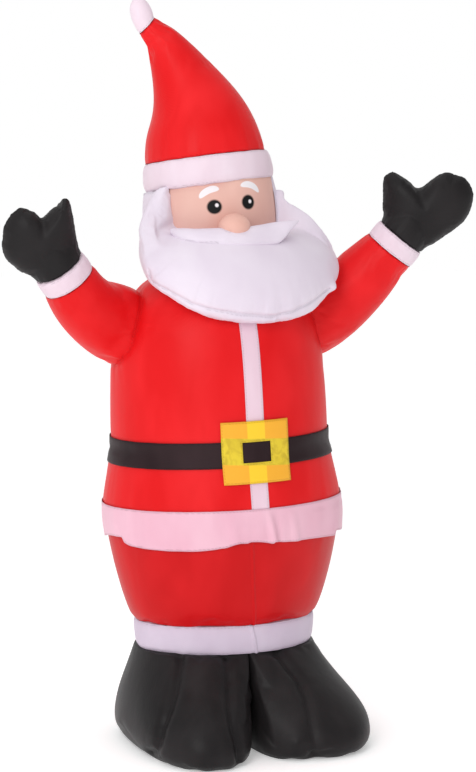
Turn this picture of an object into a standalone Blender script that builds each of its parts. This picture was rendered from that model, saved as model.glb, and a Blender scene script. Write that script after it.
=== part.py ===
"""Inflatable Santa Claus for the garden, sewn from coloured cloth and blown up.

Metres, +Z up, standing on the ground at Z 0. The figure faces -Y, and left and right are its own:
its left hand is at +X. Each blown-up chamber is one solid, and the bands sewn on it are thin solids.
The tables of the body, head and limbs are drawn for a figure of DRAWN_HEIGHT, and HEIGHT sizes it.
"""

import math

import bmesh
import bpy
from mathutils import Matrix, Vector

# Driving sizes, in metres and degrees
HEIGHT = 1.80
DRAWN_HEIGHT = 1.80
SEAM_GAP = 0.0003
SEWN_GAP = 0.0006
CLOTH = 0.0020
BOOT_TOP = 0.234
ANKLE_BAND_WIDTH = 0.070
HIP_SEAM = 0.576
HEM_TOP = 0.598
HEM_DROP = 0.096
WAIST = 0.727
BELT_WIDTH = 0.061
PLACKET_WIDTH = 0.044
PLACKET_TOP = 1.040
BUCKLE_WIDTH = 0.168
BUCKLE_HEIGHT = 0.146
BUCKLE_HOLE_WIDTH = 0.070
BUCKLE_HOLE_HEIGHT = 0.048
BUCKLE_RAISE = 0.004
NECK = 1.150
CUFF_WIDTH = 0.042
HAT_BAND_LOW = 0.2035
HAT_BAND_WIDTH = 0.0675
HAT_BAND_RADIUS = 0.1545
FACE_EDGE = 63.0

# How the parts are turned and lean, in degrees
BOOTS_TURN = 4.0
BODY_TURN = 3.6
HEAD_TURN = 1.5
HEAD_LEAN = 6.5
HEAD_NOD_BACK = 3.0
BEARD_TURN = 7.0
MOUSTACHE_TURN = 0.5
MOUSTACHE_LEAN = 3.1

# Where the parts stand, and the shift that brings the origin under the middle of the whole figure
ORIGIN_SHIFT = (-0.0176, 0.0420, 0.0)
BOOTS_X = 0.012
HEAD_X = -0.001

SIDES = 32
HEAD_SIDES = 40

# The body from the ankles to the neck: level, half width, half depth
BODY = (
    (0.2340, 0.2235, 0.1680),
    (0.2690, 0.2285, 0.1710),
    (0.3040, 0.2305, 0.1730),
    (0.3200, 0.2385, 0.1830),
    (0.3600, 0.2530, 0.2000),
    (0.4350, 0.2730, 0.2240),
    (0.5020, 0.2850, 0.2420),
    (0.5760, 0.2960, 0.2560),
    (0.5980, 0.2965, 0.2565),
    (0.6580, 0.2840, 0.2490),
    (0.7270, 0.2715, 0.2420),
    (0.8000, 0.2700, 0.2400),
    (0.8890, 0.2655, 0.2350),
    (0.9500, 0.2610, 0.2290),
    (1.0100, 0.2520, 0.2180),
    (1.0600, 0.2330, 0.1980),
    (1.1000, 0.2050, 0.1740),
    (1.1300, 0.1660, 0.1440),
    (1.1500, 0.1250, 0.1120),
)

# The body's middle line: level, distance to the left, and lean to the right in degrees
SPINE = (
    (0.2340, 0.0120, 0.0),
    (0.3040, 0.0120, 0.2),
    (0.4500, 0.0105, 1.0),
    (0.6000, 0.0060, 1.7),
    (0.7270, 0.0000, 2.0),
    (0.8890, -0.0050, 2.0),
    (1.1500, -0.0130, 2.0),
)

# The hem's lower edge by angle from the front: how much shorter it is, and how far it stands off
HEM_EDGE = (
    (-181.0, 0.002, 0.001),
    (-150.0, 0.004, 0.002),
    (-120.0, 0.000, 0.001),
    (-95.0, 0.016, 0.003),
    (-76.0, 0.018, 0.004),
    (-68.0, 0.005, 0.001),
    (-45.0, 0.000, 0.000),
    (-18.0, 0.000, 0.000),
    (-11.0, 0.018, 0.003),
    (3.0, 0.020, 0.004),
    (8.0, 0.012, 0.001),
    (30.0, 0.012, 0.000),
    (52.0, 0.008, 0.003),
    (62.0, 0.000, 0.006),
    (90.0, 0.000, 0.002),
    (130.0, 0.004, 0.000),
    (160.0, 0.000, 0.002),
    (181.0, 0.002, 0.001),
)

# A boot's plan by level: reach outwards on the left and on the right, middle of the oval, and the
# oval's middle forwards and half depth
BOOT = (
    (0.0000, 0.294, 0.242, 0.128, 0.062, 0.250),
    (0.0140, 0.314, 0.263, 0.130, 0.063, 0.267),
    (0.0350, 0.322, 0.271, 0.130, 0.063, 0.272),
    (0.0620, 0.319, 0.273, 0.128, 0.060, 0.267),
    (0.1000, 0.302, 0.267, 0.118, 0.051, 0.251),
    (0.1400, 0.272, 0.256, 0.096, 0.036, 0.226),
    (0.1850, 0.240, 0.238, 0.056, 0.015, 0.194),
    (0.2340, 0.222, 0.222, 0.000, 0.000, 0.166),
)
BOOT_LEVELS = (0.0, 0.005, 0.014, 0.032, 0.056, 0.088, 0.125, 0.165, 0.205, BOOT_TOP)
BOOT_SQUARENESS = 2.4

# Upright seams of each boot: angles from the front, outwards, at the sole and at the top
BOOT_SEAMS = {
    "left": ((-4.0, 24.0), (72.0, 76.0)),
    "right": ((-22.0, 14.0), (36.0, 46.0)),
}

# Head above the neck: level, half width, half depth
HEAD = (
    (-0.0400, 0.100, 0.095),
    (0.0050, 0.128, 0.120),
    (0.0500, 0.146, 0.139),
    (0.1000, 0.154, 0.149),
    (0.1500, 0.1565, 0.152),
    (0.2032, 0.1540, 0.1500),
)

# Hat above its band: level above the neck, distance to the left, radius
HAT = (
    (0.2713, 0.0005, 0.1505),
    (0.3032, -0.0015, 0.1438),
    (0.3418, -0.0035, 0.1345),
    (0.3805, -0.0080, 0.1190),
    (0.4202, -0.0172, 0.0985),
    (0.4601, -0.0300, 0.0800),
    (0.5002, -0.0450, 0.0640),
    (0.5404, -0.0630, 0.0485),
    (0.5700, -0.0810, 0.0378),
    (0.5975, -0.1040, 0.0272),
)
HAT_TIP_LENGTH = 0.072
HAT_TIP_RADIUS = 0.0262

# Beard by angle from its middle: top and bottom above the neck, then the radius at five heights down
BEARD = (
    (0.0, 0.093, -0.124, 0.185, 0.248, 0.275, 0.280, 0.256),
    (20.0, 0.093, -0.118, 0.187, 0.252, 0.280, 0.285, 0.262),
    (38.0, 0.095, -0.096, 0.190, 0.258, 0.288, 0.292, 0.266),
    (50.0, 0.098, -0.064, 0.184, 0.256, 0.292, 0.294, 0.262),
    (57.0, 0.104, -0.046, 0.176, 0.250, 0.287, 0.293, 0.260),
    (60.0, 0.125, -0.041, 0.170, 0.240, 0.281, 0.290, 0.258),
    (62.5, 0.175, -0.036, 0.166, 0.226, 0.270, 0.285, 0.255),
    (66.0, 0.194, -0.028, 0.163, 0.216, 0.254, 0.271, 0.247),
    (78.0, 0.196, -0.008, 0.160, 0.196, 0.224, 0.236, 0.220),
    (92.0, 0.196, 0.008, 0.158, 0.180, 0.196, 0.202, 0.194),
    (108.0, 0.196, 0.022, 0.156, 0.164, 0.169, 0.171, 0.168),
)

# Moustache by angle from the face's middle: level above the neck, radius, half height, half depth
MOUSTACHE = (
    (0.0, 0.0650, 0.192, 0.0245, 0.021),
    (12.0, 0.0665, 0.198, 0.0245, 0.025),
    (26.0, 0.0750, 0.212, 0.0240, 0.029),
    (35.0, 0.0860, 0.224, 0.0190, 0.023),
    (41.0, 0.0975, 0.235, 0.0080, 0.010),
)

# Arms: centres of the sleeve with their radii, from the shoulder to the wrist, the way it ends, and
# the mitten's flat outline with the thumb at negative values, across the wrist and along the arm
ARMS = {
    "left": {
        "sleeve": (
            ((0.150, 0.000, 0.985), 0.100),
            ((0.262, 0.000, 1.045), 0.096),
            ((0.335, -0.030, 1.105), 0.084),
            ((0.382, -0.058, 1.160), 0.073),
            ((0.411, -0.080, 1.195), 0.066),
        ),
        "way": (0.553, -0.305, 0.774),
        "hand": (
            (-0.0560, 0.0040), (-0.0770, 0.0240), (-0.0960, 0.0470), (-0.1200, 0.0770), (-0.1265, 0.0890),
            (-0.1170, 0.1115), (-0.0905, 0.1170), (-0.0700, 0.1185), (-0.0500, 0.1140), (-0.0375, 0.1240),
            (-0.0350, 0.1380), (-0.0300, 0.1525), (-0.0268, 0.1728), (-0.0200, 0.1855), (-0.0073, 0.1960),
            (0.0146, 0.2030), (0.0297, 0.2100), (0.0420, 0.2080), (0.0569, 0.2025), (0.0735, 0.1938),
            (0.0907, 0.1634), (0.0960, 0.1421), (0.0985, 0.1226), (0.0915, 0.0975), (0.0833, 0.0649),
            (0.0735, 0.0321), (0.0560, 0.0040),
        ),
        "hand_middle": (0.008, 0.086),
    },
    "right": {
        "sleeve": (
            ((-0.150, 0.000, 0.975), 0.100),
            ((-0.258, 0.000, 1.023), 0.096),
            ((-0.318, -0.030, 1.052), 0.084),
            ((-0.362, -0.058, 1.090), 0.073),
            ((-0.393, -0.080, 1.129), 0.066),
        ),
        "way": (-0.580, -0.231, 0.780),
        "hand": (
            (-0.0560, 0.0040), (-0.0680, 0.0235), (-0.0760, 0.0487), (-0.0862, 0.0690), (-0.0965, 0.0941),
            (-0.1055, 0.1220), (-0.1065, 0.1320), (-0.0970, 0.1380), (-0.0900, 0.1270), (-0.0740, 0.1285),
            (-0.0545, 0.1272), (-0.0353, 0.1206), (-0.0285, 0.1220), (-0.0275, 0.1320), (-0.0255, 0.1460),
            (-0.0195, 0.1570), (-0.0032, 0.1755), (0.0060, 0.1765), (0.0407, 0.1680), (0.0530, 0.1565),
            (0.0771, 0.1275), (0.0900, 0.1090), (0.0930, 0.0812), (0.0865, 0.0582), (0.0763, 0.0299),
            (0.0560, 0.0040),
        ),
        "hand_middle": (0.004, 0.076),
    },
}
HAND_DEPTH = 0.050
HAND_LAYERS = ((1.0, 0.0), (0.90, 0.44), (0.62, 0.80))
WRIST_NECK = ((0.000, 0.0630, 0.0610), (0.020, 0.0640, 0.0590), (0.046, 0.0560, 0.0520), (0.072, 0.0380, 0.0440))

FABRICS = {
    "red": (0.80, 0.05, 0.05),
    "white": (0.86, 0.80, 0.86),
    "black": (0.03, 0.03, 0.03),
    "skin": (0.80, 0.50, 0.40),
    "yellow": (0.95, 0.62, 0.05),
}


def smooth(stations, at):
    """The values of a smooth curve through the stations at one key. Each station starts with its key."""
    keys = [station[0] for station in stations]
    last = len(stations) - 1
    i = min(max(sum(key <= at for key in keys) - 1, 0), last - 1)
    span = keys[i + 1] - keys[i]
    t = (at - keys[i]) / span

    def slope(k, axis):
        low, high = max(k - 1, 0), min(k + 1, last)
        return (stations[high][axis] - stations[low][axis]) / (keys[high] - keys[low])

    values = []
    for axis in range(1, len(stations[0])):
        start, end = stations[i][axis], stations[i + 1][axis]
        ease = t * t * (3 - 2 * t)
        pull = slope(i, axis) * (1 - t) - slope(i + 1, axis) * t
        values.append(start + (end - start) * ease + t * (1 - t) * span * pull)
    return values


def fabric(colour):
    """The cloth of one colour, made once."""
    name = colour + "_cloth"
    if name in bpy.data.materials:
        return bpy.data.materials[name]
    material = bpy.data.materials.new(name)
    material.use_nodes = True
    shader = material.node_tree.nodes["Principled BSDF"]
    shader.inputs["Base Color"].default_value = (*FABRICS[colour], 1)
    shader.inputs["Roughness"].default_value = 0.5
    return material


def frame(name, parent, matrix):
    """An empty that pieces are placed in."""
    place = bpy.data.objects.new(name, None)
    bpy.context.scene.collection.objects.link(place)
    place.parent = parent
    place.matrix_basis = matrix
    return place


def turned(angle, axis):
    """A turn in degrees about one axis."""
    return Matrix.Rotation(math.radians(angle), 4, axis)


def piece_of(name, mesh, colour, parent):
    """An object made from a finished mesh."""
    bmesh.ops.recalc_face_normals(mesh, faces=mesh.faces)
    data = bpy.data.meshes.new(name)
    mesh.to_mesh(data)
    mesh.free()
    data.materials.append(fabric(colour))
    data.shade_smooth()
    data.set_sharp_from_angle(angle=math.radians(50))
    piece = bpy.data.objects.new(name, data)
    bpy.context.scene.collection.objects.link(piece)
    piece.parent = parent
    return piece


def loft(name, rings, colour, parent):
    """A solid through rings of points, with both ends closed."""
    mesh = bmesh.new()
    loops = [[mesh.verts.new(point) for point in ring] for ring in rings]
    for low, high in zip(loops, loops[1:]):
        for i in range(len(low)):
            j = (i + 1) % len(low)
            mesh.faces.new((low[i], low[j], high[j], high[i]))
    mesh.faces.new(reversed(loops[0]))
    mesh.faces.new(loops[-1])
    return piece_of(name, mesh, colour, parent)


def shell(name, inner, outer, colour, parent, wrap=False, holes=()):
    """A solid between two grids of points, less the cells of its holes."""
    mesh = bmesh.new()
    grids = [[[mesh.verts.new(point) for point in row] for row in grid] for grid in (inner, outer)]
    count = len(inner[0])
    columns = count if wrap else count - 1
    cells = {(i, j) for i in range(len(inner) - 1) for j in range(columns)} - set(holes)
    for i, j in sorted(cells):
        k = (j + 1) % count
        for grid in grids:
            mesh.faces.new((grid[i][j], grid[i][k], grid[i + 1][k], grid[i + 1][j]))
        before = (j - 1) % count if wrap else j - 1
        walls = {
            (i - 1, j): ((i, j), (i, k)),
            (i + 1, j): ((i + 1, j), (i + 1, k)),
            (i, before): ((i, j), (i + 1, j)),
            (i, k if wrap else j + 1): ((i, k), (i + 1, k)),
        }
        for neighbour, ends in walls.items():
            if neighbour not in cells:
                low, high = [[grid[row][column] for row, column in ends] for grid in grids]
                mesh.faces.new((low[0], low[1], high[1], high[0]))
    loose = [vert for vert in mesh.verts if not vert.link_faces]
    bmesh.ops.delete(mesh, geom=loose, context="VERTS")
    return piece_of(name, mesh, colour, parent)


def oval(centre, axis, half_width, half_depth, sides):
    """A ring across an axis, from its front point round by its left side."""
    axis = Vector(axis).normalized()
    front = Vector((0, -1, 0))
    front = (front - front.dot(axis) * axis).normalized()
    left = front.cross(axis)
    left = left if left.x > 0 else -left
    turns = [2 * math.pi * i / sides for i in range(sides)]
    return [
        Vector(centre) + left * half_width * math.sin(turn) + front * half_depth * math.cos(turn)
        for turn in turns
    ]


def guide(piece):
    """Marks a solid that only cuts others."""
    piece.hide_render = True
    piece.display_type = "WIRE"
    return piece


def combined(piece, tool, operation="DIFFERENCE"):
    """Cuts the piece with a guide, or joins the guide to it."""
    modifier = piece.modifiers.new(operation.lower() + " " + tool.name, "BOOLEAN")
    modifier.operation = operation
    modifier.solver = "EXACT"
    modifier.object = tool
    return piece


def body_levels(low, high, extra=()):
    """The body's levels from low to high, with any extra ones between."""
    wanted = {station[0] for station in BODY} | set(extra)
    return [low, *sorted(level for level in wanted if low + 0.004 < level < high - 0.004), high]


def body_oval(level, grow=0.0):
    """One ring of the body, across its middle line."""
    half_width, half_depth = smooth(BODY, level)
    across, lean = smooth(SPINE, level)
    way = (-math.sin(math.radians(lean)), 0, math.cos(math.radians(lean)))
    return oval((across, 0, level), way, half_width + grow, half_depth + grow, SIDES)


def on_body(level, turn, out):
    """A point off the body's flat facets, turned from the front by some share of a whole turn."""
    ring = body_oval(level, out)
    place = (turn % 1.0) * SIDES
    i = int(place)
    return ring[i % SIDES].lerp(ring[(i + 1) % SIDES], place - i)


def front_point(level, across, out):
    """A point off the front of the body at some distance to its left."""
    ring = body_oval(level, out)
    side = 1 if across >= 0 else -1
    for i in range(SIDES // 4):
        low, high = ring[side * i], ring[side * (i + 1)]
        near, far = abs(low.x - ring[0].x), abs(high.x - ring[0].x)
        if abs(across) <= far:
            return low.lerp(high, (abs(across) - near) / (far - near))
    return ring[side * SIDES // 4]


BELT_LOW = WAIST - BELT_WIDTH / 2
BELT_HIGH = WAIST + BELT_WIDTH / 2
BUCKLE_LOW = WAIST + BUCKLE_RAISE - BUCKLE_HEIGHT / 2
BUCKLE_TOP = BUCKLE_LOW + BUCKLE_HEIGHT
HOLE_LOW = WAIST + BUCKLE_RAISE - BUCKLE_HOLE_HEIGHT / 2
HOLE_HIGH = HOLE_LOW + BUCKLE_HOLE_HEIGHT
HEM_LOW = HEM_TOP - HEM_DROP
BODY_EXTRA = (HEM_LOW, 0.540, HIP_SEAM, HEM_TOP, BELT_LOW, WAIST, BELT_HIGH, PLACKET_TOP)


def add_trousers(body):
    """The white ankle band and the red trousers above it."""
    top = BOOT_TOP + ANKLE_BAND_WIDTH
    band = []
    for share, pinch in ((0.0, 0.0035), (0.16, 0.0), (0.84, 0.0), (1.0, 0.003)):
        level = BOOT_TOP + share * ANKLE_BAND_WIDTH
        band.append(body_oval(level, -pinch))
    loft("ankle_band", band, "white", body)
    rings = []
    for level in body_levels(top + SEAM_GAP, HIP_SEAM, BODY_EXTRA):
        rings.append(body_oval(level, -0.003 if level < top + 0.001 else 0.0))
    loft("trousers", rings, "red", body)


def jacket_rings(grow=0.0):
    """The rings of the jacket from the hip seam to the neck."""
    rings = [body_oval(level, grow) for level in body_levels(HIP_SEAM + SEAM_GAP, NECK, BODY_EXTRA)]
    up = Vector((0, 0, grow))
    return [[point - up for point in rings[0]], *rings[1:-1], [point + up for point in rings[-1]]]


def add_jacket(body):
    """The jacket, its placket, belt, buckle and loose hem."""
    loft("jacket", jacket_rings(), "red", body)

    half = PLACKET_WIDTH / 2
    levels = body_levels(HEM_TOP + 0.001, PLACKET_TOP, BODY_EXTRA)
    across = (-half, -half / 2, 0.0, half / 2, half)
    grids = [[[front_point(level, x, out) for x in across] for level in levels]
             for out in (SEWN_GAP, SEWN_GAP + CLOTH)]
    shell("placket", *grids, "white", body)

    belt_levels = (BELT_LOW, WAIST, BELT_HIGH)
    belt_in = 2 * SEWN_GAP + CLOTH
    outs = (belt_in, belt_in + CLOTH)
    grids = [[body_oval(level, out) for level in belt_levels] for out in outs]
    shell("belt", *grids, "black", body, wrap=True)

    columns = (-BUCKLE_WIDTH / 2, -BUCKLE_WIDTH / 3, -BUCKLE_HOLE_WIDTH / 2, 0.0)
    columns = columns + tuple(-x for x in reversed(columns[:-1]))
    rows = (BUCKLE_LOW, BELT_LOW, HOLE_LOW, WAIST, HOLE_HIGH, BELT_HIGH, BUCKLE_TOP)
    buckle_in = belt_in + CLOTH + SEWN_GAP
    grids = [[[front_point(level, x, out) for x in columns] for level in rows]
             for out in (buckle_in, buckle_in + CLOTH)]
    hole = [(row, column) for row in (2, 3) for column in (2, 3)]
    shell("buckle", *grids, "yellow", body, holes=hole)

    levels = (HEM_TOP, 0.552, HEM_LOW)
    grids = [[], []]
    for level, off in zip(levels, (0.0010, 0.0042, 0.0060)):
        share = (HEM_TOP - level) / HEM_DROP
        rows = [[], []]
        for i in range(2 * SIDES):
            angle = (i / (2 * SIDES) * 360 + 180) % 360 - 180
            short, wave = smooth(HEM_EDGE, angle)
            for row, out in zip(rows, (off + share * wave, off + share * wave + CLOTH)):
                point = on_body(level, i / (2 * SIDES), out)
                point.z += short * share ** 3
                row.append(point)
        for grid, row in zip(grids, rows):
            grid.append(row)
    shell("jacket_hem", *grids, "white", body, wrap=True)


def add_boot(side, boots):
    """One boot: a rounded plan cut flat at the cleft, creased at its upright seams."""
    name = "left" if side > 0 else "right"
    count = 24
    inner_seam, outer_seam = BOOT_SEAMS[name]
    power = 2 / BOOT_SQUARENESS
    rings = []
    for level in BOOT_LEVELS:
        left_reach, right_reach, middle, forwards, half_depth = smooth(BOOT, level)
        share = level / BOOT_TOP
        middle -= side * 0.021 * share ** 2
        reach = (left_reach if side > 0 else right_reach) - middle
        first = inner_seam[0] + (inner_seam[1] - inner_seam[0]) * share
        second = outer_seam[0] + (outer_seam[1] - outer_seam[0]) * share
        knots = ((0, first), (5, second), (12, 140.0), (18, 235.0), (24, first + 360.0))
        ring = []
        for i in range(count):
            k = sum(knot[0] <= i for knot in knots) - 1
            (start, low), (end, high) = knots[k], knots[k + 1]
            turn = math.radians(low + (high - low) * (i - start) / (end - start))
            crease = 0.024 * math.sin(math.pi * (0.15 + 0.7 * share)) if i in (0, 5) else 0.0
            sine, cosine = math.sin(turn), math.cos(turn)
            out = math.copysign(abs(sine) ** power, sine) * (1 - crease)
            ahead = math.copysign(abs(cosine) ** power, cosine) * (1 - crease)
            cleft = 0.034 * (1.0 - 0.7 * share)
            out = middle + reach * out
            out = 0.0015 + 0.5 * (out + math.sqrt(out * out + cleft * cleft))
            ring.append(Vector((side * out, -(forwards + half_depth * ahead), level)))
        if level == BOOT_TOP:
            ring = [point - Vector((0, 0, SEAM_GAP)) for point in ring]
        rings.append(ring)
    loft("boot_" + name, rings, "black", boots)


def arm_frame(name, figure):
    """The place at the wrist: Z along the arm, X away from the head and Y to the back."""
    arm = ARMS[name]
    way = Vector(arm["way"]).normalized()
    wrist = Vector(arm["sleeve"][-1][0])
    toward_viewer = Vector((-0.292, -0.956, 0.0))
    out = way.cross(toward_viewer).normalized()
    if out.z > 0:
        out = -out
    back = way.cross(out)
    matrix = Matrix((out, back, way)).transposed().to_4x4()
    return frame("wrist_" + name, figure, Matrix.Translation(wrist) @ matrix)


def sleeve_rings(name, grow=0.0):
    """Rings of one sleeve from inside the jacket to the wrist."""
    arm = ARMS[name]
    centres = [Vector(centre) for centre, _ in arm["sleeve"]]
    radii = [radius for _, radius in arm["sleeve"]]
    lengths = [0.0]
    for low, high in zip(centres, centres[1:]):
        lengths.append(lengths[-1] + (high - low).length)
    stations = [(length, *centre, radius) for length, centre, radius in zip(lengths, centres, radii)]
    count = 7
    rings = []
    for i in range(count + 1):
        at = lengths[-1] * i / count
        x, y, z, radius = smooth(stations, at)
        before = Vector(smooth(stations, max(at - 0.004, 0.0))[:3])
        after = Vector(smooth(stations, min(at + 0.004, lengths[-1]))[:3])
        share = max(0.0, (i - count + 3) / 3)
        way = (after - before).normalized().lerp(Vector(arm["way"]).normalized(), share)
        rings.append(oval((x, y, z), way, radius + grow, radius + grow, 20))
    return rings


def hand(name, start, wrist):
    """The padded flat of a mitten, two panels sewn together round the outline."""
    across, along = ARMS[name]["hand_middle"]
    outline = ARMS[name]["hand"]
    mesh = bmesh.new()
    middle = Vector((across, 0, along + start))
    rims = [mesh.verts.new((x, 0, z + start)) for x, z in outline]
    for face_way in (-1, 1):
        loops = [rims]
        for share, depth in HAND_LAYERS[1:]:
            loop = []
            for x, z in outline:
                point = middle.lerp(Vector((x, 0, z + start)), share)
                point.y = face_way * depth * HAND_DEPTH
                loop.append(mesh.verts.new(point))
            loops.append(loop)
        top = mesh.verts.new(middle + Vector((0, face_way * HAND_DEPTH, 0)))
        for i in range(len(outline)):
            j = (i + 1) % len(outline)
            for low, high in zip(loops, loops[1:]):
                mesh.faces.new((low[i], low[j], high[j], high[i]))
            mesh.faces.new((loops[-1][i], loops[-1][j], top))
    return piece_of("hand_" + name, mesh, "black", wrist)


def add_arm(name, figure, jacket_guide):
    """The sleeve, cuff and mitten of one arm."""
    sleeve = loft("sleeve_" + name, sleeve_rings(name), "red", figure)
    combined(sleeve, jacket_guide)

    wrist = arm_frame(name, figure)
    radius = ARMS[name]["sleeve"][-1][1]
    rings = []
    for share, swell in ((0.0, 0.000), (0.2, 0.0035), (0.75, 0.003), (1.0, -0.002)):
        level = SEAM_GAP + share * (CUFF_WIDTH - SEAM_GAP)
        rings.append(oval((0, 0, level), (0, 0, 1), radius + swell, radius + swell, 20))
    loft("cuff_" + name, rings, "white", wrist)

    start = CUFF_WIDTH + SEAM_GAP
    neck = [oval((0, 0, start + s), (0, 0, 1), half_width, half_depth, 16)
            for s, half_width, half_depth in WRIST_NECK]
    mitten = loft("mitten_" + name, neck, "black", wrist)
    combined(mitten, guide(hand(name, start, wrist)), "UNION")


def head_oval(level, grow=0.0):
    """One ring of the head, above the neck."""
    half_width, half_depth = smooth(HEAD, level)
    return oval((0, 0, level), (0, 0, 1), half_width + grow, half_depth + grow, HEAD_SIDES)


HEAD_LEVELS = [station[0] for station in HEAD]
FIRST_HAIR = round(FACE_EDGE * HEAD_SIDES / 360)
HAIR_SWELL = (0.0, 0.35, 0.9, 1.0, 0.95, 0.15)


def hair_point(row, i, grow=0.0):
    """A point on the outside of the hair, thin at the edges of the face and full behind the ears."""
    from_edge = min(i - FIRST_HAIR, HEAD_SIDES - FIRST_HAIR - i) / 4
    swell = 0.003 + 0.012 * HAIR_SWELL[row] * math.sin(math.pi / 2 * min(1.0, from_edge))
    return head_oval(HEAD_LEVELS[row], SEWN_GAP + swell + grow)[i]


def add_head(head, jacket_guide):
    """The skin-coloured head with the padded panel of hair round its back."""
    skin = loft("head", [head_oval(level) for level in HEAD_LEVELS], "skin", head)
    combined(skin, jacket_guide)

    numbers = range(FIRST_HAIR, HEAD_SIDES - FIRST_HAIR + 1)
    inner = [[head_oval(level, SEWN_GAP)[i] for i in numbers] for level in HEAD_LEVELS[1:]]
    outer = [[hair_point(row, i) for i in numbers] for row in range(1, len(HEAD_LEVELS))]
    combined(shell("hair", inner, outer, "white", head), jacket_guide)

    rings = []
    for row, level in enumerate(HEAD_LEVELS):
        face = head_oval(level, SEWN_GAP)
        ring = face[:FIRST_HAIR + 1] + [hair_point(row, i, 3 * SEWN_GAP) for i in numbers]
        rings.append(ring + face[HEAD_SIDES - FIRST_HAIR:])
    return guide(loft("head_guide", rings, "skin", head))


def beard_rings(grow=0.0):
    """Upright sections of the beard from the right side round the front to the left side."""
    rings = []
    angles = [0, 14, 28, 42, 52, 58, 62.5, 67, 80, 106]
    angles = [-angle for angle in reversed(angles[1:])] + angles
    for angle in angles:
        top, bottom, *radii = smooth(BEARD, abs(angle))
        height = top - bottom
        fractions = (0.0, 0.25, 0.5, 0.75, 1.0)
        profile = [(share, radius) for share, radius in zip(fractions, radii)]
        section = [(0.10, top - 0.02 + grow), (radii[0] - 0.022, top - 0.002 + grow)]
        for share in (0.03, 0.15, 0.3, 0.45, 0.6, 0.75, 0.88, 0.97):
            section.append((smooth(profile, share)[0] + grow, top + grow - share * (height + 2 * grow)))
        section.append((radii[-1] - 0.012, bottom - grow))
        section.append((radii[-1] - 0.05, bottom + 0.006 - grow))
        section.append((0.10, bottom + 0.02 - grow))
        turn = math.radians(angle)
        rings.append([Vector((r * math.sin(turn), -r * math.cos(turn), z)) for r, z in section])
    return rings


def moustache_rings(grow=0.0):
    """Sections of the moustache from its right end to its left end."""
    rings = []
    for angle in (-43, -41, -35, -27, -18, -9, 0, 9, 18, 27, 35, 41, 43):
        level, radius, half_height, half_depth = smooth(MOUSTACHE, min(abs(angle), 41))
        if abs(angle) > 41:
            half_height, half_depth = half_height * 0.45, half_depth * 0.45
        half_height, half_depth = half_height + grow, half_depth + grow
        turn = math.radians(angle)
        ring = []
        for i in range(10):
            spin = 2 * math.pi * i / 10
            r = radius + half_depth * math.cos(spin)
            z = level + half_height * math.sin(spin)
            ring.append(Vector((r * math.sin(turn), -r * math.cos(turn), z)))
        rings.append(ring)
    return rings


def add_face(head, beard_place, moustache_place, guides):
    """The beard, the moustache and the nose, each fitted on what it is sewn to."""
    beard = loft("beard", beard_rings(), "white", beard_place)
    for tool in guides:
        combined(beard, tool)
    beard_guide = guide(loft("beard_guide", beard_rings(2 * SEWN_GAP), "white", beard_place))

    def nose_rings(grow=0.0):
        turn = math.radians(-3.0)
        centre = Vector((0.181 * math.sin(turn), -0.181 * math.cos(turn), 0.096))
        rings = []
        for angle in (-80, -60, -40, -20, 0, 20, 40, 60, 80):
            share = math.cos(math.radians(angle))
            level = centre + Vector((0, 0, (0.0325 + grow) * math.sin(math.radians(angle))))
            rings.append(oval(level, (0, 0, 1), 0.0400 * share + grow, 0.0450 * share + grow, 16))
        return rings

    nose = loft("nose", nose_rings(), "skin", head)
    combined(nose, guides[0])
    combined(nose, beard_guide)
    nose_guide = guide(loft("nose_guide", nose_rings(SEWN_GAP), "skin", head))
    moustache = loft("moustache", moustache_rings(), "white", moustache_place)
    combined(moustache, guides[0])
    combined(moustache, beard_guide)
    combined(moustache, nose_guide)


def add_hat(head):
    """The hat's white band, the leaning red cone and its white end."""
    top = HAT_BAND_LOW + HAT_BAND_WIDTH
    rings = []
    for share, wide in ((0.0, 1.0), (0.1, 1.024), (0.45, 1.029), (0.9, 1.0), (1.0, 0.968)):
        centre = (0.002, 0, HAT_BAND_LOW + share * HAT_BAND_WIDTH)
        radius = wide * HAT_BAND_RADIUS
        rings.append(oval(centre, (0, 0, 1), radius, radius * 0.97, SIDES))
    loft("hat_band", rings, "white", head)

    def spine(level):
        across, radius = smooth(HAT, level)
        return Vector((across, 0, level)), radius

    first, last = HAT[0][0], HAT[-1][0]
    rings = []
    count = 10
    for i in range(count + 1):
        level = first + (last - first) * i / count
        centre, radius = spine(level)
        low, high = spine(max(level - 0.01, first))[0], spine(min(level + 0.01, last))[0]
        way = (high - low).normalized()
        if i == 0:
            way = Vector((0, 0, 1))
            centre.z = top + SEAM_GAP
            radius = 0.961 * HAT_BAND_RADIUS
        rings.append(oval(centre, way, radius, radius * 0.97, 24))
    loft("hat", rings, "red", head)

    lean = math.atan2(-way.x, way.z)
    centre = centre + way * SEAM_GAP
    rings = [oval(centre, way, radius, radius, 16)]
    steps = ((0.14, 1.0), (0.34, 1.06), (0.56, 1.02), (0.75, 0.86), (0.90, 0.56), (1.0, 0.16))
    travelled = 0.0
    for share, wide in steps:
        lean = lean + (math.radians(8.0) - lean) * 0.5
        way = Vector((-math.sin(lean), 0, math.cos(lean)))
        centre = centre + way * (share - travelled) * HAT_TIP_LENGTH
        travelled = share
        rings.append(oval(centre, way, HAT_TIP_RADIUS * wide, HAT_TIP_RADIUS * wide, 16))
    loft("hat_tip", rings, "white", head)


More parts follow.
